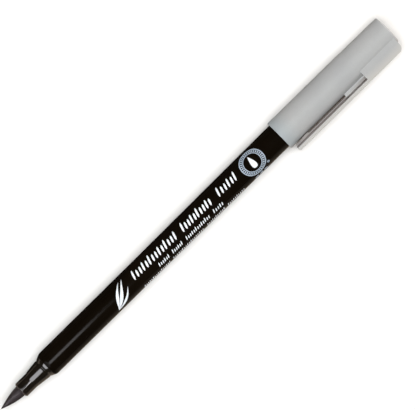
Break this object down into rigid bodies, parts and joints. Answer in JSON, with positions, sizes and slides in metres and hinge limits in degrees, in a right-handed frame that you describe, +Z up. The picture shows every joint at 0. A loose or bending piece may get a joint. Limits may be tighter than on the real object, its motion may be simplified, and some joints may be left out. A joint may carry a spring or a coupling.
{
  "type": "calligraphy marker",
  "caption": "Slim plastic brush marker with a bending felt brush tip, straight grip band, and a friction-fit clip cap posted on the back of the barrel",
  "frame": {"origin": "on the pen's axis, in the middle of the straight grip band", "axes": "+X runs along the pen from the brush towards the closed end of the cap, -Y points to the clip, and +Z is up with the pen lying down"},
  "size_m": [0.1528, 0.012, 0.0098],
  "materials": {
    "black_plastic": "moulded polypropylene, glossy black",
    "grey_plastic": "moulded polypropylene, satin light grey",
    "inner_plastic": "moulded polyethylene, milky white",
    "brush_felt": "ink-soaked elastic felt",
    "core_fibre": "bundled polyester fibre, soaked in black ink",
    "clear_film": "thin clear film wrap"
  },
  "bodies": {
    "pen": {"barrel": "black_plastic", "front_section": "black_plastic", "brush_root": "brush_felt", "ink_core": "core_fibre", "core_film": "clear_film", "tail_plug": "black_plastic"},
    "cap": {"cap_shell": "grey_plastic", "inner_cap": "inner_plastic"},
    "clip": {"clip_arm": "grey_plastic"},
    "brush": {"brush_tip": "brush_felt"}
  },
  "joints": [
    {"name": "cap_pull", "type": "slide", "parent": "pen", "child": "cap", "axis": [1, 0, 0], "range_m": [0, 0.04]},
    {"name": "clip_flex", "type": "hinge", "parent": "cap", "child": "clip", "pos_m": [0.09298, -0.00713, 0], "axis": [0, 0, 1], "range_deg": [0, 6], "stiffness_Nm_per_rad": 0.8},
    {"name": "brush_bend", "type": "hinge", "parent": "pen", "child": "brush", "pos_m": [-0.0325, 0, 0], "axis": [0, 1, 0], "range_deg": [-20, 20], "stiffness_Nm_per_rad": 0.01}
  ]
}
